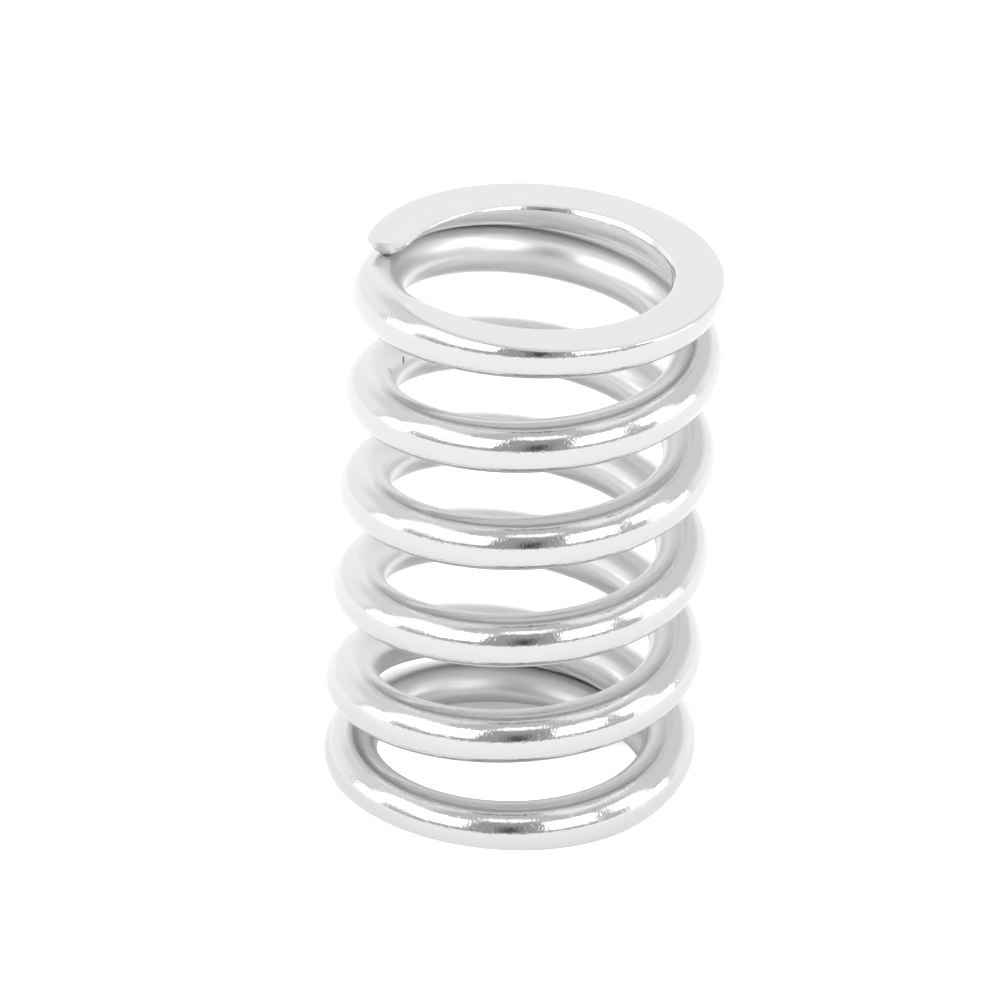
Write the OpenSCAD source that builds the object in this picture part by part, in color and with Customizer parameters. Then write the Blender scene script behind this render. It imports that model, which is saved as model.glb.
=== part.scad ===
// Silencer flange spring: one cold-wound compression spring of round wire, right-hand wound,
// with closed ends that are ground square to the axis and tips sheared a little off the radius.
// Frame: millimetres, +Z up along the axis, origin at the centre of the lower ground face.
// Angles along the wire are counted from the upper tip downwards.

/* [Wire] */
// Diameter of the round wire
wire_d = 4.0; // [3:0.1:5]

/* [Coil] */
// Diameter over the outside of the active turns
outer_d = 28.0; // [24:0.5:40]
// Length between the two ground faces with no load on the spring
free_length = 42.0; // [36:0.5:60]
// Turns of wire from tip to tip, the closed end turns included
turns = 6.45; // [5.5:0.05:7.5]
// Bearing of the upper tip, anticlockwise from +X seen from above
tip_bearing = 171; // [0:1:359]

/* [Closed ends] */
// Thickness ground off the level stretch of each end turn
ground_off = 1.2; // [0.6:0.1:1.6]
// Angle from the tip over which the end turn lies level
level_angle = 215; // [180:5:240]
// Angle over which the wire then climbs to the full pitch
climb_angle = 100; // [60:5:120]
// Clearance between a tip and the turn that it is closed against
tip_clearance = 0.1; // [0.05:0.05:0.3]
// Drop over which the closed tip bends into the level stretch
tip_blend = 1.0; // [0.4:0.1:1.6]
// Turn of each sheared tip face away from the coil's radius
tip_skew = 9; // [0:1:15]
// Amount by which the coil's radius draws in towards each tip
draw_in = 0.35; // [0:0.05:0.8]
// Angle from the tip over which the coil draws in
draw_in_angle = 400; // [180:10:540]

/* [Smoothness] */
// Largest angle of the coil between two rings of the sweep
ring_step = 10; // [8:1:15]
// Number of sides of the swept wire section
wire_sides = 20; // [16:2:24]

/* [Hidden] */
// Full turn in degrees
turn = 360;
wire_r = wire_d / 2;
coil_r = (outer_d - wire_d) / 2;
wire_angle = turns * turn;
ring_count = ceil(wire_angle / ring_step);
// Depth of the wire's centre below the ground face, on the level stretch
level_depth = wire_r - ground_off;
// Drop of the wire for each degree of the coil at full pitch
drop_rate = (free_length - 2 * level_depth) / (wire_angle - 2 * level_angle - climb_angle);
// Angle from the tip over which the rings of the sweep turn to the sheared face
skew_angle = 15;
// Space on each side of the coil that the grinding block keeps clear
block_margin = 2;

// Eases a share from 0 to 1 with no kink at either end
function ease(share) = let (s = min(1, max(0, share))) s * s * (3 - 2 * s);

// Smaller of two heights, rounded where they cross within the given band
function rounded_min(a, b, band) = min(a, b) - pow(max(0, band - abs(a - b)), 2) / (4 * band);

// Depth below its own ground face of an end turn that only levels out and climbs
function seat_depth(angle) =
    let (climb = min(climb_angle, max(0, angle - level_angle)))
    let (full = max(0, angle - level_angle - climb_angle))
    level_depth + drop_rate * (pow(climb, 2) / (2 * climb_angle) + full);

// Depth at which the wire would lie closed against the next turn
function closed_depth(angle) = seat_depth(angle + turn) - wire_d - tip_clearance;

// Depth of the wire's centre below its own ground face
function wire_depth(angle) = rounded_min(seat_depth(angle), closed_depth(angle), tip_blend);

// Height of the wire's centre, the same from both ends
function wire_height(angle) =
    angle < wire_angle / 2 ? free_length - wire_depth(angle) : wire_depth(wire_angle - angle);

// Radius of the wire's centre line
function wire_radius(angle) =
    coil_r - draw_in * (1 - ease(min(angle, wire_angle - angle) / draw_in_angle));

// Slope of the wire against the horizontal
function wire_slope(angle) =
    let (reach = ring_step / 2)
    let (rise = wire_height(angle - reach) - wire_height(angle + reach))
    let (run = 2 * reach * PI / 180 * wire_radius(angle))
    atan2(rise, run);

// Point on the wire's round surface, its side angle counted from the outside of the coil upwards
function wire_point(angle, side_angle) =
    let (bearing = tip_bearing - angle, slope = wire_slope(angle))
    let (out = [cos(bearing), sin(bearing), 0])
    let (up = [sin(bearing) * sin(slope), -cos(bearing) * sin(slope), cos(slope)])
    let (across = wire_radius(angle) + wire_r * cos(side_angle))
    out * across + up * wire_r * sin(side_angle) + [0, 0, wire_height(angle)];

// Share of the shear's skew that a ring takes, negative at the lower tip
function skew_share(angle) =
    ease(1 - angle / skew_angle) - ease(1 - (wire_angle - angle) / skew_angle);

// Angle along the wire at which one side of a ring lies, once the ring is turned to the skew
function skewed_angle(angle, side_angle) =
    let (outward = wire_r * cos(side_angle))
    angle - asin(outward * tan(tip_skew) * skew_share(angle) / (coil_r - draw_in + outward));

// One section of the wire, square to it except near the sheared tips
function wire_ring(angle) =
    [for (side = [0:wire_sides - 1])
        let (side_angle = side * turn / wire_sides)
        wire_point(skewed_angle(angle, side_angle), side_angle)];

// Two triangles between neighbouring rings for each side of the section
function wall_faces() =
    [for (i = [0:ring_count - 1], k = [0:wire_sides - 1])
        let (next = (k + 1) % wire_sides, here = i * wire_sides, below = here + wire_sides)
        each [[here + k, here + next, below + next], [here + k, below + next, below + k]]];

// Triangles that close the ring starting at the given point, turned over for the upper tip
function tip_faces(first, turned_over) =
    [for (k = [1:wire_sides - 2])
        turned_over ? [first, first + k + 1, first + k] : [first, first + k, first + k + 1]];

// Wire at its full round section from tip to tip
module wound_wire() {
    points = [for (i = [0:ring_count]) each wire_ring(i * wire_angle / ring_count)];
    upper_tip = tip_faces(0, true);
    lower_tip = tip_faces(ring_count * wire_sides, false);
    polyhedron(points, concat(upper_tip, wall_faces(), lower_tip), convexity = 12);
}

// Block between the two grinding planes
module grinding_block() {
    side = outer_d + 2 * block_margin;
    translate([-side / 2, -side / 2, 0]) cube([side, side, free_length]);
}

module spring() {
    color("gainsboro")
        intersection() {
            wound_wire();
            grinding_block();
        }
}

spring();
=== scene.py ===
"""Dresses the silencer flange spring: zinc-plated round wire, wound right-handed, its end turns
closed and ground square. Lengths are metres, +Z runs up the coil's axis, and angles along the
wire are counted from the upper tip downwards."""

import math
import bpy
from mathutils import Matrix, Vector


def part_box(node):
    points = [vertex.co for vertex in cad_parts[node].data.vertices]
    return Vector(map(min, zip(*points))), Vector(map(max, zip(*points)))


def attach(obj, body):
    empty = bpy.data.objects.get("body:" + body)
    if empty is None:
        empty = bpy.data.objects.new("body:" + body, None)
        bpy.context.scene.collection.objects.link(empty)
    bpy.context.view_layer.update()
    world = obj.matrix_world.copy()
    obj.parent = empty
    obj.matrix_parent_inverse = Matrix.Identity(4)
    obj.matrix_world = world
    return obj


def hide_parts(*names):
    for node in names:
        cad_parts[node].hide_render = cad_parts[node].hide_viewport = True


bl_info = {
    "name": "Silencer Spring",
    "version": (1, 0, 0),
    "blender": (4, 5, 0),
    "location": "3D Viewport > Sidebar > Spring",
    "description": "Winds, grinds and plates a silencer flange spring, and sets its studio",
    "category": "Object",
}

from typing import NamedTuple

import bpy
import numpy as np
from bpy.props import FloatProperty, FloatVectorProperty, IntProperty, PointerProperty
from mathutils import Matrix, Vector

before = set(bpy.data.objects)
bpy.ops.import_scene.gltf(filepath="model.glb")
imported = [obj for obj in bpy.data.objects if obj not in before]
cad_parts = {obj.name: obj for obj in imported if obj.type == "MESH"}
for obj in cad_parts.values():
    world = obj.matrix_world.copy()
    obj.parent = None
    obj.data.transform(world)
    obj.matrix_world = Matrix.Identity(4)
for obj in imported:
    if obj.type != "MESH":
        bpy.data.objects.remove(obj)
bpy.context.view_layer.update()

# One millimetre in the scene's metres
MM = 0.001
CAD_NODE = "spring"
CAD_LOW, CAD_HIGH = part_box(CAD_NODE)
# Layers of the mesh: each point's place outward, upward and along the wire, and the thickness
# taken off there
PLACE_LAYER = "wire_place"
GROUND_LAYER = "ground_off"

# Share by which the sides of the mesh gather at the edges of a ground face, and the angle round
# the section from which they come
EDGE_GATHER = 0.62
EDGE_REACH = math.radians(24)
# Angle of an edge round the section at which the gathering starts to fade as the ground face
# narrows, and the angle over which it fades
EDGE_FADE_START = math.radians(50)
EDGE_FADE_SPAN = math.radians(30)
# Angle over which the scraping fades out as a ground face narrows, and the rounding beside it
SCRAPE_FADE = math.radians(8)
SCRAPE_EDGE = 0.06 * MM
# Least share of a side's direction that counts as pointing at the ground face and at the
# scraped flat, so that no distance to them is endless
LEAST_TO_GROUND = 1e-3
LEAST_TO_SCRAPED = 0.05
# Angle on each side of a ring over which the wire's slope is taken
SLOPE_REACH = math.radians(5)
# Step between the rings at a tip against a full step, and the rings over which it grows
TIP_STEP = 0.12
TIP_RINGS = 20
# Angle between two faces above which the edge between them stays sharp
SHARP_ANGLE = math.radians(40)

# Nicks in the plating, each from one end to the other: millimetres outward and upward from the
# wire's centre and along the wire
NICKS = (
    ((-1.63, 1.15, 153.05), (-1.84, 0.78, 152.53)),
    ((-1.25, 1.56, 148.48), (-1.56, 1.25, 148.01)),
)
# Bands over which a ground face turns matt and a worn edge glossy, as shares of the thickness
# taken off where each is half done
MATT_BAND = 4 / 3
GLOSS_BAND = 1.5
# Share of the fine relief that shows where the wire isn't glossy
SATIN_RELIEF = 0.15
# Strength of each finer layer of the noise against the one before it
NOISE_ROUGHNESS = 0.55
# Level of the noise from which it is a pit, and the band of it that is a pit's rim
PIT_LEVEL = 0.72
PIT_RIM = 0.10

# Heights of the floor and of the disc that carries its shade, both just under the spring, and
# the disc's number of sides
FLOOR_HEIGHT = -0.01 * MM
SHADE_HEIGHT = -0.005 * MM
SHADE_SIDES = 64
# Width of the camera's sensor in millimetres, and the nearest and farthest that it sees
SENSOR_WIDTH = 36.0
NEAREST, FARTHEST = 0.05, 100.0


class SpringSizes(bpy.types.PropertyGroup):
    """Sizes of the wire, its coil and its closed ends, as in the CAD solid, and those of the
    edges and of the mesh, which only the dressed spring has."""

    wire_diameter: FloatProperty(
        name="Wire diameter", description="Diameter of the round wire",
        default=4.0 * MM, min=3.0 * MM, max=5.0 * MM, unit="LENGTH", precision=5)
    outer_diameter: FloatProperty(
        name="Outer diameter", description="Diameter over the outside of the active turns",
        default=28.0 * MM, min=24.0 * MM, max=40.0 * MM, unit="LENGTH", precision=5)
    free_length: FloatProperty(
        name="Free length", description="Length between the two ground faces with no load",
        default=CAD_HIGH.z - CAD_LOW.z, min=36.0 * MM, max=60.0 * MM, unit="LENGTH", precision=5)
    turns: FloatProperty(
        name="Turns", description="Turns of wire from tip to tip, the end turns included",
        default=6.45, min=5.5, max=7.5)
    tip_bearing: FloatProperty(
        name="Tip bearing", description="Bearing of the upper tip, anticlockwise from +X",
        default=math.radians(171), subtype="ANGLE")
    tip_skew: FloatProperty(
        name="Tip skew", description="Turn of each sheared tip face away from the radius",
        default=math.radians(9), subtype="ANGLE")
    skew_angle: FloatProperty(
        name="Skew angle", description="Angle over which the rings turn to the sheared face",
        default=math.radians(15), subtype="ANGLE")
    tip_pinch: FloatProperty(
        name="Tip pinch", description="Share of the width that the shear takes off at a tip",
        default=0.3, min=0, max=0.6)
    tip_pinch_length: FloatProperty(
        name="Tip pinch length", description="Length over which a sheared tip narrows",
        default=0.9 * MM, unit="LENGTH", precision=5)
    tip_worn: FloatProperty(
        name="Tip worn", description="Length that shearing and tumbling took off each tip",
        default=0.3 * MM, unit="LENGTH", precision=5)
    outer_edge: FloatProperty(
        name="Outer edge", description="Band over which a ground face's outer edge is rounded",
        default=0.2 * MM, unit="LENGTH", precision=5)
    inner_edge: FloatProperty(
        name="Inner edge", description="Band over which a ground face's inner edge is rounded",
        default=0.15 * MM, unit="LENGTH", precision=5)
    scraped_off: FloatProperty(
        name="Scraped off", description="Thickness scraped off a ground face's sharp inner edge",
        default=0.11 * MM, unit="LENGTH", precision=5)
    scraped_side: FloatProperty(
        name="Scraped side", description="Side that the scraped edge faces, from the inside up",
        default=math.radians(32), subtype="ANGLE")
    ground_off: FloatProperty(
        name="Ground off", description="Thickness ground off the level stretch of an end turn",
        default=1.2 * MM, unit="LENGTH", precision=5)
    level_angle: FloatProperty(
        name="Level angle", description="Angle over which an end turn lies level",
        default=math.radians(215), subtype="ANGLE")
    climb_angle: FloatProperty(
        name="Climb angle", description="Angle over which the wire climbs to the full pitch",
        default=math.radians(100), subtype="ANGLE")
    tip_clearance: FloatProperty(
        name="Tip clearance", description="Clearance between a tip and the turn beside it",
        default=0.1 * MM, unit="LENGTH", precision=5)
    tip_blend: FloatProperty(
        name="Tip blend", description="Drop over which the closed tip bends to the level stretch",
        default=1.0 * MM, unit="LENGTH", precision=5)
    draw_in: FloatProperty(
        name="Draw in", description="Amount by which the coil draws in towards each tip",
        default=0.35 * MM, unit="LENGTH", precision=5)
    draw_in_angle: FloatProperty(
        name="Draw-in angle", description="Angle from the tip over which the coil draws in",
        default=math.radians(400), subtype="ANGLE")
    rings_per_turn: IntProperty(
        name="Rings in a turn", description="Rings of the mesh in each turn of the coil",
        default=120, min=60, max=240)
    wire_sides: IntProperty(
        name="Sides of the wire", description="Sides of the mesh round the wire",
        default=112, min=24, max=120)


class PlatingFinish(bpy.types.PropertyGroup):
    """Colours, gloss and fine relief of the bright zinc plating."""

    burnished_zinc: FloatVectorProperty(
        name="Burnished zinc", description="Colour of the plating that the tools have burnished",
        default=(0.64, 0.64, 0.645), size=3, min=0, max=1, subtype="COLOR")
    # Painted fill light: the satin plating gets a lighter colour than the burnished zinc, which
    # lightens the shaded inside and underside of the wire
    satin_zinc_and_painted_fill: FloatVectorProperty(
        name="Satin zinc", description="Colour of the plating that no tool has touched",
        default=(0.71, 0.71, 0.715), size=3, min=0, max=1, subtype="COLOR")
    ground_zinc: FloatVectorProperty(
        name="Ground zinc", description="Colour of the plating on the ground faces",
        default=(0.82, 0.82, 0.825), size=3, min=0, max=1, subtype="COLOR")
    polish: FloatProperty(
        name="Polish", description="Roughness where the coiling tools have burnished the wire",
        default=0.07, min=0, max=1)
    satin: FloatProperty(
        name="Satin", description="Roughness of the plating that no tool has touched",
        default=0.35, min=0, max=1)
    matt: FloatProperty(
        name="Matt", description="Roughness of the ground faces",
        default=0.42, min=0, max=1)
    matt_outside: FloatProperty(
        name="Matt outside", description="Thickness off where a face is half matt, outside",
        default=0.054 * MM, unit="LENGTH", precision=6)
    matt_inside: FloatProperty(
        name="Matt inside", description="Thickness off where a face is half matt, inside",
        default=0.15 * MM, unit="LENGTH", precision=6)
    glossy_edge: FloatProperty(
        name="Glossy edge", description="Thickness off where a worn inner edge is half glossy",
        default=0.008 * MM, unit="LENGTH", precision=7)
    nick_width: FloatProperty(
        name="Nick width", description="Width of the nicks in the plating",
        default=0.17 * MM, unit="LENGTH", precision=6)
    nick_depth: FloatProperty(
        name="Nick depth", description="Depth of the nicks in the plating",
        default=0.05 * MM, unit="LENGTH", precision=6)
    # Near-black colour given to the nicks along their length; the dent of each nick is in the bump
    nick_dark: FloatVectorProperty(
        name="Bare", description="Colour of the wire that shows in a nick",
        default=(0.05, 0.05, 0.05), size=3, min=0, max=1, subtype="COLOR")
    rubbed_side: FloatProperty(
        name="Rubbed side", description="Side that the coiling tools rub, from the outside up",
        default=math.radians(15), subtype="ANGLE")
    rubbed_at: FloatProperty(
        name="Rubbed at", description="Cosine of the angle from that side where it is half rubbed",
        default=0.28)
    rubbed_edge: FloatProperty(
        name="Rubbed edge", description="Band of that cosine over which the rubbing fades out",
        default=0.73, min=0.01)
    grain_size: FloatProperty(
        name="Grain size", description="Size of the fine grain in the burnished wire",
        default=0.22 * MM, unit="LENGTH", precision=6)
    grain_depth: FloatProperty(
        name="Grain depth", description="Depth of the fine grain",
        default=0.011 * MM, unit="LENGTH", precision=7)
    ripple_size: FloatProperty(
        name="Ripple size", description="Size of the broad ripples in the wire",
        default=0.7 * MM, unit="LENGTH", precision=6)
    ripple_depth: FloatProperty(
        name="Ripple depth", description="Depth of the broad ripples",
        default=0.005 * MM, unit="LENGTH", precision=7)
    pit_size: FloatProperty(
        name="Pit size", description="Size of the small pits from tumbling",
        default=0.2 * MM, unit="LENGTH", precision=6)
    pit_depth: FloatProperty(
        name="Pit depth", description="Depth of the small pits",
        default=0.003 * MM, unit="LENGTH", precision=7)


class StudioSetting(bpy.types.PropertyGroup):
    """Floor, shade and camera of the studio."""

    floor_colour: FloatVectorProperty(
        name="Floor", description="Colour of the pale floor",
        default=(0.9, 0.9, 0.9), size=3, min=0, max=1, subtype="COLOR")
    floor_glow: FloatProperty(
        name="Floor glow", description="Light that the floor gives off itself, as a light table",
        default=0.27, min=0)
    floor_size: FloatProperty(
        name="Floor size", description="Length of each side of the floor",
        default=12.0, unit="LENGTH")
    shade_radius: FloatProperty(
        name="Shade radius", description="Distance from the axis where the shade is half full",
        default=7.6 * MM, unit="LENGTH", precision=5)
    shade_edge: FloatProperty(
        name="Shade edge", description="Band over which the shade fades in",
        default=1.6 * MM, unit="LENGTH", precision=5)
    shade_reach: FloatProperty(
        name="Shade reach", description="Radius of the disc that carries the shade",
        default=12.0 * MM, unit="LENGTH", precision=5)
    camera_distance: FloatProperty(
        name="Camera distance", description="Distance from the camera to the spring's middle",
        default=1.5, unit="LENGTH")
    camera_elevation: FloatProperty(
        name="Camera elevation", description="Angle at which the camera looks down",
        default=math.radians(27.602), subtype="ANGLE")
    camera_roll: FloatProperty(
        name="Camera roll", description="Turn of the camera that leans the spring to its right",
        default=math.radians(3.843), subtype="ANGLE")
    view_width: FloatProperty(
        name="View width", description="Width of the picture at the spring's middle",
        default=74.519 * MM, unit="LENGTH", precision=5)
    aim_right: FloatProperty(
        name="Aim right", description="Distance from the spring's middle to the picture's, right",
        default=-1.7535 * MM, unit="LENGTH", precision=5)
    aim_down: FloatProperty(
        name="Aim down", description="Distance from the spring's middle to the picture's, down",
        default=-1.2354 * MM, unit="LENGTH", precision=5)


class Channel:
    """Output of a shader node. Maths on it reads as Python and adds the Math nodes."""

    def __init__(self, tree, socket):
        self.tree = tree
        self.socket = socket

    def __add__(self, other):
        return maths("ADD", self, other)

    def __radd__(self, other):
        return maths("ADD", other, self)

    def __sub__(self, other):
        return maths("SUBTRACT", self, other)

    def __rsub__(self, other):
        return maths("SUBTRACT", other, self)

    def __mul__(self, other):
        return maths("MULTIPLY", self, other)

    def __rmul__(self, other):
        return maths("MULTIPLY", other, self)

    def __truediv__(self, other):
        return maths("DIVIDE", self, other)


def add_node(tree, kind, settings=None, inputs=None, output=0):
    """Adds a shader node. Its settings are set first, then each input gets a value or a link."""
    node = tree.nodes.new("ShaderNode" + kind)
    for name, value in (settings or {}).items():
        setattr(node, name, value)
    for name, value in (inputs or {}).items():
        if isinstance(value, Channel):
            tree.links.new(value.socket, node.inputs[name])
        else:
            node.inputs[name].default_value = value
    return Channel(tree, node.outputs[output])


def maths(operation, *values):
    """Adds a Math node on numbers and at least one channel."""
    tree = next(value.tree for value in values if isinstance(value, Channel))
    return add_node(tree, "Math", {"operation": operation}, dict(enumerate(values)))


def split(vector, axes):
    """Separates a vector and gives the named axes."""
    outputs = add_node(vector.tree, "SeparateXYZ", inputs={"Vector": vector}).socket.node.outputs
    return [Channel(vector.tree, outputs[axis]) for axis in axes]


def smooth_step(value, at, edge):
    """Goes from 0 to 1 where the value passes the given one, over the width of the edge."""
    return add_node(value.tree, "MapRange", {"interpolation_type": "SMOOTHSTEP"}, {
        "Value": value, "From Min": at - edge / 2, "From Max": at + edge / 2})


# Numbers of the Mix node's two inputs and of its output for each type of data
MIX_SOCKETS = {"FLOAT": (2, 3, 0), "RGBA": (6, 7, 2)}


def mix(kind, share, plain, full):
    """Mixes two numbers or colours: plain where the share is 0, and full where it is 1."""
    first, second, output = MIX_SOCKETS[kind]
    return add_node(share.tree, "Mix", {"data_type": kind}, {
        0: share, first: plain, second: full}, output)


def ease(share):
    """Eases a share from 0 to 1 with no kink at either end."""
    share = np.clip(share, 0, 1)
    return share * share * (3 - 2 * share)


def rounded_min(a, b, band):
    """Smaller of two values, rounded where they cross within the given band."""
    return np.minimum(a, b) - np.maximum(0, band - abs(a - b)) ** 2 / (4 * band)


class WirePath:
    """Centre line and section of the wire, worked out from the spring's sizes."""

    def __init__(self, sizes):
        self.sizes = sizes
        self.wire_radius = sizes.wire_diameter / 2
        self.coil_radius = (sizes.outer_diameter - sizes.wire_diameter) / 2
        self.angle = sizes.turns * math.tau
        self.level_depth = self.wire_radius - sizes.ground_off
        full_angle = self.angle - 2 * sizes.level_angle - sizes.climb_angle
        self.drop_rate = (sizes.free_length - 2 * self.level_depth) / full_angle

    def seat_depth(self, angle):
        """Depth below its own ground face of an end turn that only levels out and climbs."""
        level_angle, climb_angle = self.sizes.level_angle, self.sizes.climb_angle
        climb = np.clip(angle - level_angle, 0, climb_angle)
        full = np.maximum(0, angle - level_angle - climb_angle)
        return self.level_depth + self.drop_rate * (climb**2 / (2 * climb_angle) + full)

    def depth(self, angle):
        """Depth below its own ground face, with the tip closed against the next turn."""
        sizes = self.sizes
        closed = self.seat_depth(angle + math.tau) - sizes.wire_diameter - sizes.tip_clearance
        return rounded_min(self.seat_depth(angle), closed, sizes.tip_blend)

    def height(self, angle):
        """Height above the lower ground face, the same from both ends."""
        upper = self.sizes.free_length - self.depth(angle)
        return np.where(angle < self.angle / 2, upper, self.depth(self.angle - angle))

    def radius(self, angle):
        """Distance from the coil's axis."""
        from_tip = np.minimum(angle, self.angle - angle)
        drawn_in = 1 - ease(from_tip / self.sizes.draw_in_angle)
        return self.coil_radius - self.sizes.draw_in * drawn_in

    def slope(self, angle):
        """Slope of the wire against the horizontal."""
        rise = self.height(angle - SLOPE_REACH) - self.height(angle + SLOPE_REACH)
        return np.arctan2(rise, 2 * SLOPE_REACH * self.radius(angle))

    def gathered(self, turn, cut, middle):
        """Turns of the mesh's sides round the section, gathered at a ground face's edges."""
        corner = np.arctan2(cut - middle, np.sqrt(self.wire_radius**2 - cut**2))
        gather = EDGE_GATHER * (1 - ease((corner - EDGE_FADE_START) / EDGE_FADE_SPAN))
        for edge in (corner, math.pi - corner):
            off = (turn - edge + math.pi) % math.tau - math.pi
            turn = turn - gather * off * np.exp(-((off / EDGE_REACH) ** 2))
        return turn

    def to_scraped(self, cos, sin, cut, middle):
        """Distance from the section's middle to the flat scraped off the sharp inner edge."""
        side = self.sizes.scraped_side
        past_edge = side - np.arcsin(cut / self.wire_radius)
        share = ease(past_edge / SCRAPE_FADE)
        kept = self.wire_radius * np.cos(np.maximum(0, past_edge))
        kept = kept - self.sizes.scraped_off * share + SCRAPE_EDGE * (1 - share)
        towards = np.maximum(sin * math.sin(side) - cos * math.cos(side), LEAST_TO_SCRAPED)
        return (kept - middle * math.sin(side)) / towards

    def section(self, angle, turn):
        """Ground section of the wire as outward and upward distances from the wire's centre, and
        the thickness taken off. The turn is counted round the section from the outside up."""
        upper = angle < self.angle / 2
        depth = np.where(upper, self.depth(angle), self.depth(self.angle - angle))
        cut = np.minimum(depth, self.wire_radius)
        middle = (cut - self.wire_radius) / 2
        turn = self.gathered(np.where(upper, turn, -turn), cut, middle)
        cos, sin = np.cos(turn), np.sin(turn)
        to_wire = np.sqrt(self.wire_radius**2 - (middle * cos) ** 2) - middle * sin
        ground_depth = depth / np.cos(self.slope(angle))
        to_ground = (ground_depth - middle) / np.maximum(sin, LEAST_TO_GROUND)
        outer, inner = self.sizes.outer_edge, self.sizes.inner_edge
        edge = inner + (outer - inner) * ease((1 + cos) / 2)
        reach = rounded_min(to_wire, to_ground, edge)
        reach = rounded_min(reach, self.to_scraped(cos, sin, cut, middle), SCRAPE_EDGE)
        outward, upward = reach * cos, middle + reach * sin
        return outward, np.where(upper, upward, -upward), to_wire - reach

    def pinch(self, angle):
        """Share of the wire's width that the shear has left."""
        from_tip = np.minimum(angle, self.angle - angle) * self.coil_radius
        from_tip = from_tip - self.sizes.tip_worn
        near = 1 - np.clip(from_tip / self.sizes.tip_pinch_length, 0, 1)
        return 1 - self.sizes.tip_pinch * (1 - np.sqrt(1 - near**2))

    def skewed(self, angle, outward):
        """Angle along the wire once the rings near a tip are turned to its sheared face."""
        tip_radius = self.coil_radius - self.sizes.draw_in
        reach = self.sizes.skew_angle
        share = ease(1 - angle / reach) - ease(1 - (self.angle - angle) / reach)
        shift = outward * math.tan(self.sizes.tip_skew) * share
        return angle - np.arcsin(shift / (tip_radius + outward))

    def surface(self, angle, outward, upward):
        """Points of the wire's surface from distances outward and upward from its centre."""
        bearing = self.sizes.tip_bearing - angle
        slope = self.slope(angle)
        cos, sin = np.cos(bearing), np.sin(bearing)
        across = self.radius(angle) + outward
        height = self.height(angle) + np.cos(slope) * upward
        return np.stack([
            cos * across + sin * np.sin(slope) * upward,
            sin * across - cos * np.sin(slope) * upward,
            np.clip(height, 0, self.sizes.free_length),
        ], axis=-1)

    def ring_angles(self, rings):
        """Angles of the mesh's rings, closer together near the sheared tips."""
        ring = np.arange(rings)
        from_tip = np.minimum(ring, rings - 1 - ring)
        steps = TIP_STEP + (1 - TIP_STEP) * ease(from_tip / TIP_RINGS)
        worn = self.sizes.tip_worn / self.coil_radius
        steps = steps * (self.angle - 2 * worn) / steps.sum()
        return worn + np.concatenate([[0], np.cumsum(steps)])


def pick_none():
    """Deselects everything, so that an operator acts on the next primitive alone."""
    bpy.ops.object.select_all(action="DESELECT")


def wind_coil(path, name):
    """Screws a round section into a plain coil, then closes and grinds its end turns."""
    sizes = path.sizes
    pick_none()
    bpy.ops.mesh.primitive_circle_add(
        vertices=sizes.wire_sides, radius=path.wire_radius, fill_type="NOTHING",
        location=(path.coil_radius, 0, 0), rotation=(math.pi / 2, 0, 0))
    coil = bpy.context.object
    coil.name = coil.data.name = name
    bpy.ops.object.transform_apply(location=True, rotation=True, scale=True)
    circle = np.array([v.co for v in coil.data.vertices])
    circle_turn = np.arctan2(circle[:, 2], circle[:, 0] - path.coil_radius)

    rings = round(sizes.turns * sizes.rings_per_turn)
    screw = coil.modifiers.new("Winding", "SCREW")
    screw.axis = "Z"
    screw.angle = -path.angle
    screw.screw_offset = -path.drop_rate * path.angle
    screw.steps = screw.render_steps = rings
    screw.use_normal_calculate = True
    bpy.ops.object.modifier_apply(modifier=screw.name)

    index = np.arange(len(coil.data.vertices))
    angle = path.ring_angles(rings)[index // sizes.wire_sides]
    turn = circle_turn[index % sizes.wire_sides]
    pinch = path.pinch(angle)
    angle = path.skewed(angle, path.section(angle, turn)[0] * pinch)
    outward, upward, ground = path.section(angle, turn)
    outward = outward * pinch
    coil.data.vertices.foreach_set("co", path.surface(angle, outward, upward).ravel())
    place = np.stack([outward, upward, angle * path.coil_radius], axis=-1)
    place_layer = coil.data.attributes.new(PLACE_LAYER, "FLOAT_VECTOR", "POINT")
    place_layer.data.foreach_set("vector", place.ravel())
    ground_layer = coil.data.attributes.new(GROUND_LAYER, "FLOAT", "POINT")
    ground_layer.data.foreach_set("value", ground)
    coil.data.update()
    return coil


def close_tips(coil, path):
    """Fills the two sheared end faces of the wire."""
    sides = path.sizes.wire_sides
    count = len(coil.data.vertices)
    for ring_start in (0, count - sides):
        bpy.ops.object.mode_set(mode="EDIT")
        bpy.ops.mesh.select_mode(type="VERT")
        bpy.ops.mesh.select_all(action="DESELECT")
        bpy.ops.object.mode_set(mode="OBJECT")
        for i in range(ring_start, ring_start + sides):
            coil.data.vertices[i].select = True
        bpy.ops.object.mode_set(mode="EDIT")
        bpy.ops.mesh.edge_face_add()
        bpy.ops.object.mode_set(mode="OBJECT")
    bpy.ops.object.mode_set(mode="EDIT")
    bpy.ops.mesh.select_all(action="SELECT")
    bpy.ops.mesh.normals_make_consistent(inside=False)
    bpy.ops.object.mode_set(mode="OBJECT")


def material(name, make_surface):
    """Makes a material whose surface is what make_surface(tree) returns."""
    made = bpy.data.materials.new(name)
    made.use_nodes = True
    tree = made.node_tree
    tree.nodes.clear()
    end = tree.nodes.new("ShaderNodeOutputMaterial")
    tree.links.new(make_surface(tree).socket, end.inputs["Surface"])
    return made


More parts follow.
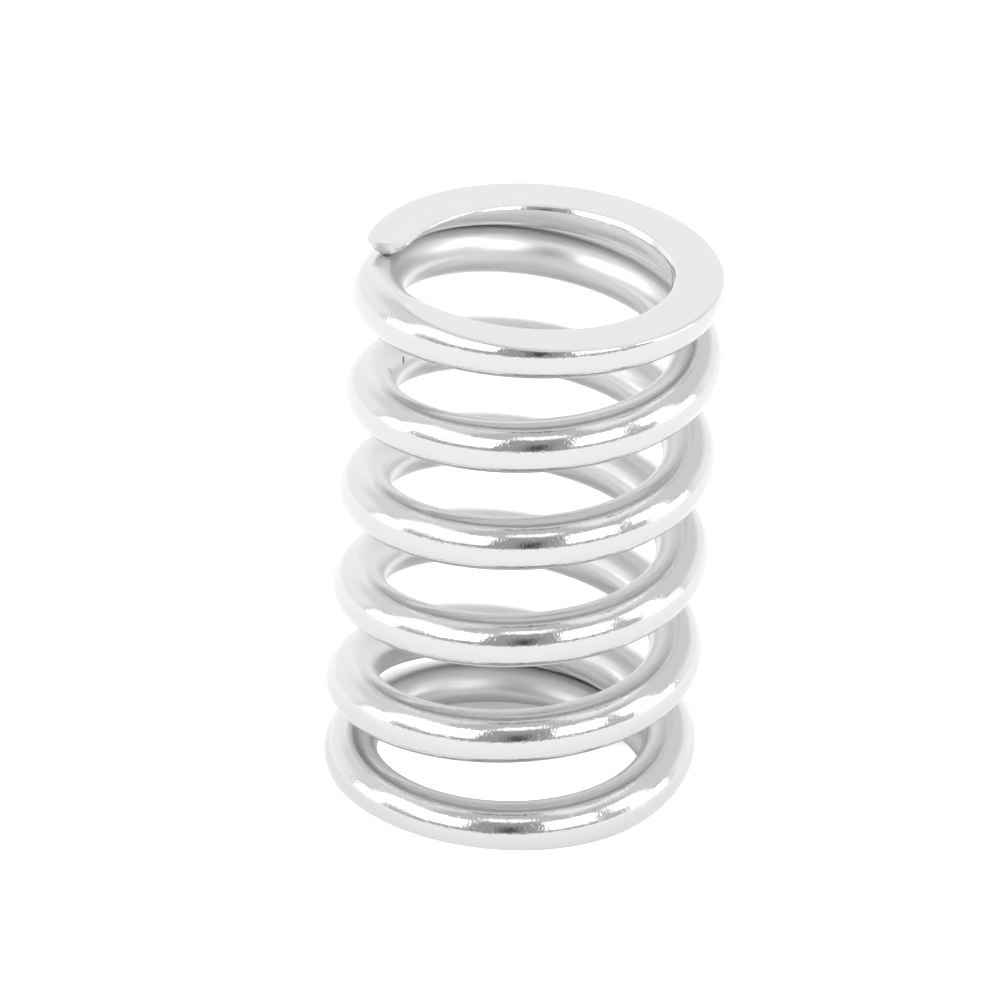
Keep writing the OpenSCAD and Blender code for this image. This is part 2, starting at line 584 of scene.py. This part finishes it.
def plated_wire(tree):
    """Bright zinc over drawn wire: burnished outside by the coiling tools, satin inside and
    painted lighter there as a fill light, matt on the ground faces and glossy on their worn inner
    edges."""
    finish = bpy.context.scene.plating_finish
    wire_radius = bpy.context.scene.spring_sizes.wire_diameter / 2

    def vector(operation, inputs, output=0):
        return add_node(tree, "VectorMath", {"operation": operation}, inputs, output)

    def noise(size, along, detail=2.0):
        per_metre = (1 / size, 1 / size, 1 / (size * along))
        return add_node(tree, "TexNoise", inputs={
            "Vector": vector("MULTIPLY", {0: place, 1: per_metre}), "Scale": 1.0,
            "Detail": detail, "Roughness": NOISE_ROUGHNESS}, output="Fac")

    def nick(start, end):
        start, end = Vector(start) * MM, Vector(end) * MM
        along = (end - start).normalized()
        offset = vector("SUBTRACT", {0: place, 1: (start + end) / 2})
        ahead = vector("DOT_PRODUCT", {0: offset, 1: along}, "Value")
        on_line = vector("SCALE", {0: along, "Scale": ahead})
        aside = vector("LENGTH", {0: vector("SUBTRACT", {0: offset, 1: on_line})}, "Value")
        width, half_length = finish.nick_width, (end - start).length / 2
        within_width = 1 - smooth_step(aside, width / 2, width)
        return within_width * (1 - smooth_step(maths("ABSOLUTE", ahead), half_length, width))

    place = add_node(tree, "Attribute", {"attribute_name": PLACE_LAYER}, output="Vector")
    outward, upward = split(place, "XY")
    rubbed_share = (outward * math.cos(finish.rubbed_side)
                    + upward * math.sin(finish.rubbed_side)) / wire_radius
    rubbed = smooth_step(rubbed_share, finish.rubbed_at, finish.rubbed_edge)
    taken_off = add_node(tree, "Attribute", {"attribute_name": GROUND_LAYER}, output="Fac")
    inside = 1 - smooth_step(outward, 0.0, wire_radius / 2)
    half_matt = finish.matt_outside + (finish.matt_inside - finish.matt_outside) * inside
    ground = smooth_step(taken_off / half_matt, 1.0, MATT_BAND)
    worn_edge = smooth_step(taken_off / finish.glossy_edge, 1.0, GLOSS_BAND) * inside
    glossy = maths("MAXIMUM", rubbed, worn_edge)
    nicked = sum(nick(*ends) for ends in NICKS)

    grain = noise(finish.grain_size, along=0.8)
    ripple = noise(finish.ripple_size, along=1.5)
    pits = smooth_step(noise(finish.pit_size, along=1.2, detail=0.0), PIT_LEVEL, PIT_RIM)
    relief = grain * finish.grain_depth + ripple * finish.ripple_depth - pits * finish.pit_depth
    relief = relief * (SATIN_RELIEF + (1 - SATIN_RELIEF) * glossy) - nicked * finish.nick_depth
    bump = add_node(tree, "Bump", inputs={
        "Strength": 1.0, "Distance": 1.0, "Height": relief}, output="Normal")
    roughness = finish.satin - (finish.satin - finish.polish) * glossy
    roughness = roughness + (finish.matt - roughness) * ground
    # The lighter satin colour is a painted fill light on the inside and underside of the wire
    colour = mix("RGBA", rubbed, (*finish.satin_zinc_and_painted_fill, 1), (*finish.burnished_zinc, 1))
    colour = mix("RGBA", ground, colour, (*finish.ground_zinc, 1))
    # The nicks take the near-black colour
    colour = mix("RGBA", nicked, colour, (*finish.nick_dark, 1))
    return add_node(tree, "BsdfPrincipled", inputs={
        "Base Color": colour, "Metallic": 1.0, "Roughness": roughness, "Normal": bump})


class SPRING_OT_wind_wire(bpy.types.Operator):
    """Winds, closes, grinds and plates the spring's wire"""

    bl_idname = "spring.wind_wire"
    bl_label = "Wind the spring"

    def execute(self, context):
        path = WirePath(context.scene.spring_sizes)
        wire = wind_coil(path, "spring_wire")
        close_tips(wire, path)
        wire.data.materials.append(material("bright_zinc", plated_wire))
        bpy.ops.object.shade_smooth_by_angle(angle=SHARP_ANGLE, keep_sharp_edges=True)
        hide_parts(CAD_NODE)
        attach(wire, "root")
        return {"FINISHED"}


class Glow(NamedTuple):
    """One light of the studio: its reach round the spring, the band at its edge and its
    radiance. Azimuth is counted from the camera's side towards +X, elevation from the floor up,
    and all three angles are degrees."""

    name: str
    azimuth: tuple
    elevation: tuple
    edge: float
    radiance: float


# Radiance of the room where no glow reaches
ROOM_RADIANCE = 0.74
# Each glow lies over those before it
ROOM_GLOWS = (
    Glow("back wall, left", (-185, -105), (-95, 34), 24, 1.24),
    Glow("back wall, right", (110, 185), (-95, 26), 24, 1.24),
    Glow("side wall, left", (-150, -66), (26, 84), 14, 1.0),
    Glow("side wall, right", (62, 118), (40, 60), 10, 0.76),
    Glow("side wall, far right", (92, 172), (24, 66), 16, 0.92),
    Glow("ceiling, right", (44, 150), (60, 88), 10, 1.24),
    Glow("ceiling behind, left", (-185, -140), (50, 95), 16, 0.85),
    Glow("ceiling behind, right", (150, 185), (50, 95), 16, 0.80),
    Glow("camera side", (-26, 21), (-2, 48), 3, 0.49),
    Glow("camera", (-8, 9), (4, 34), 9, 0.32),
    Glow("lens", (-3, 6), (6, 26), 6, 0.10),
    Glow("front top light", (-23, 17.5), (51.5, 62.5), 2, 1.8),
    Glow("left table edge", (-77, -26), (-2, 15), 4, 0.94),
    Glow("left table edge, inner", (-42, -24), (-2, 12), 8, 0.58),
    Glow("left table edge, shadow", (-74, -26), (0, 8), 4, 0.58),
    Glow("right table edge", (22, 72), (-2, 10), 4, 0.80),
    Glow("right table edge, shadow", (20, 70), (-1, 7), 4, 0.62),
    Glow("left softbox, outer", (-91, -59), (17, 47), 9, 2.5),
    Glow("left softbox", (-58, -25.5), (12.5, 46), 3, 2.7),
    Glow("right softbox", (23.5, 54), (10.5, 44), 2.5, 2.7),
    Glow("right softbox, outer", (50, 58), (28, 42), 3, 2.2),
    Glow("left wall light", (-101, -80), (-12, 20), 8, 3.0),
    Glow("right wall light", (66.5, 93), (18, 45), 4, 2.5),
    Glow("right window", (77, 106), (-12, 18), 6, 3.0),
    Glow("under the floor", (-200, 200), (-95, -1.5), 1, 1.6),
)


def light_room():
    """Lights the room round the spring with soft panels."""
    world = bpy.data.worlds.new("studio")
    bpy.context.scene.world = world
    world.use_nodes = True
    tree = world.node_tree
    tree.nodes.clear()
    direction = add_node(tree, "TexCoord", output="Generated")
    x, y, z = split(direction, "XYZ")
    azimuth = maths("ARCTAN2", x, y * -1) * math.degrees(1)
    elevation = maths("ARCSINE", z) * math.degrees(1)

    def within(value, low, high, edge):
        aside = maths("ABSOLUTE", value - (low + high) / 2)
        return 1 - smooth_step(aside, (high - low) / 2, edge)

    radiance = ROOM_RADIANCE
    for glow in ROOM_GLOWS:
        across = within(azimuth, *glow.azimuth, glow.edge)
        mask = across * within(elevation, *glow.elevation, glow.edge)
        radiance = mix("FLOAT", mask, radiance, glow.radiance)
    background = add_node(tree, "Background", inputs={
        "Color": (1, 1, 1, 1), "Strength": radiance})
    end = tree.nodes.new("ShaderNodeOutputWorld")
    tree.links.new(background.socket, end.inputs["Surface"])


def lay_floor(setting):
    """Lays the pale floor, which the camera sees only in the shade at the back of the coil. That
    shade is rendered on a disc of floor and partly painted: the disc lacks the floor's glow and
    fades in by a mask.
    """
    pick_none()
    bpy.ops.mesh.primitive_plane_add(size=setting.floor_size, location=(0, 0, FLOOR_HEIGHT))
    floor = bpy.context.object
    floor.name = "floor"
    bpy.ops.object.transform_apply(location=True, rotation=True, scale=True)

    def pale(tree):
        return add_node(tree, "BsdfDiffuse", inputs={"Color": (*setting.floor_colour, 1)})

    def glowing(tree):
        glow = add_node(tree, "Emission", inputs={
            "Color": (1, 1, 1, 1), "Strength": setting.floor_glow})
        return add_node(tree, "AddShader", inputs={0: pale(tree), 1: glow})

    floor.data.materials.append(material("glowing_floor", glowing))
    floor.visible_camera = False

    # Painted shade, in part: this disc has the floor's colour but not its glow, and a mask of
    # distance from the axis and of depth behind it shows it only at the back of the coil; the
    # light and shade on it are rendered
    def shaded(tree):
        x, y = split(add_node(tree, "TexCoord", output="Object"), "XY")
        from_axis = maths("SQRT", x * x + y * y)
        behind = smooth_step(y, setting.shade_radius / 2, setting.shade_radius)
        share = smooth_step(from_axis, setting.shade_radius, setting.shade_edge) * behind
        return add_node(tree, "MixShader", inputs={
            0: share, 1: add_node(tree, "BsdfTransparent"), 2: pale(tree)})

    pick_none()
    bpy.ops.mesh.primitive_circle_add(
        vertices=SHADE_SIDES, radius=setting.shade_reach, fill_type="NGON",
        location=(0, 0, SHADE_HEIGHT))
    shade = bpy.context.object
    shade.name = "shaded_floor"
    bpy.ops.object.transform_apply(location=True, rotation=True, scale=True)
    shade.data.materials.append(material("shaded_floor", shaded))


def place_camera(setting, target):
    """Sets the camera at the photograph's angle."""
    elevation, roll = setting.camera_elevation, setting.camera_roll
    level_right = Vector((1, 0, 0))
    level_up = Vector((0, math.sin(elevation), math.cos(elevation)))
    forward = Vector((0, math.cos(elevation), -math.sin(elevation)))
    right = level_right * math.cos(roll) + level_up * math.sin(roll)
    down = level_right * math.sin(roll) - level_up * math.cos(roll)
    place = (target + right * setting.aim_right + down * setting.aim_down
             - forward * setting.camera_distance)
    data = bpy.data.cameras.new("camera")
    data.sensor_width = SENSOR_WIDTH
    data.lens = SENSOR_WIDTH * setting.camera_distance / setting.view_width
    data.clip_start, data.clip_end = NEAREST, FARTHEST
    camera = bpy.data.objects.new("camera", data)
    bpy.context.scene.collection.objects.link(camera)
    axes = Matrix((right, -down, -forward)).transposed().to_4x4()
    camera.matrix_world = Matrix.Translation(place) @ axes
    bpy.context.scene.camera = camera


class SPRING_OT_set_stage(bpy.types.Operator):
    """Lays the floor, lights the room and sets the camera"""

    bl_idname = "spring.set_stage"
    bl_label = "Set the stage"

    def execute(self, context):
        setting = context.scene.studio_setting
        lay_floor(setting)
        light_room()
        place_camera(setting, Vector((0, 0, context.scene.spring_sizes.free_length / 2)))
        context.scene.view_settings.view_transform = "Standard"
        return {"FINISHED"}


class SPRING_PT_sidebar(bpy.types.Panel):
    """Steps of the spring, in order"""

    bl_idname = "SPRING_PT_sidebar"
    bl_label = "Silencer spring"
    bl_space_type = "VIEW_3D"
    bl_region_type = "UI"
    bl_category = "Spring"

    def draw(self, context):
        for step in (SPRING_OT_wind_wire, SPRING_OT_set_stage):
            self.layout.operator(step.bl_idname)


CLASSES = (
    SpringSizes, PlatingFinish, StudioSetting,
    SPRING_OT_wind_wire, SPRING_OT_set_stage, SPRING_PT_sidebar,
)
SETTINGS = {
    "spring_sizes": SpringSizes,
    "plating_finish": PlatingFinish,
    "studio_setting": StudioSetting,
}


def register():
    for cls in CLASSES:
        bpy.utils.register_class(cls)
    for name, group in SETTINGS.items():
        setattr(bpy.types.Scene, name, PointerProperty(type=group))


def unregister():
    for name in SETTINGS:
        delattr(bpy.types.Scene, name)
    for cls in reversed(CLASSES):
        bpy.utils.unregister_class(cls)


def main():
    """Runs each step."""
    register()
    bpy.ops.spring.wind_wire()
    bpy.ops.spring.set_stage()


if __name__ == "__main__":
    main()
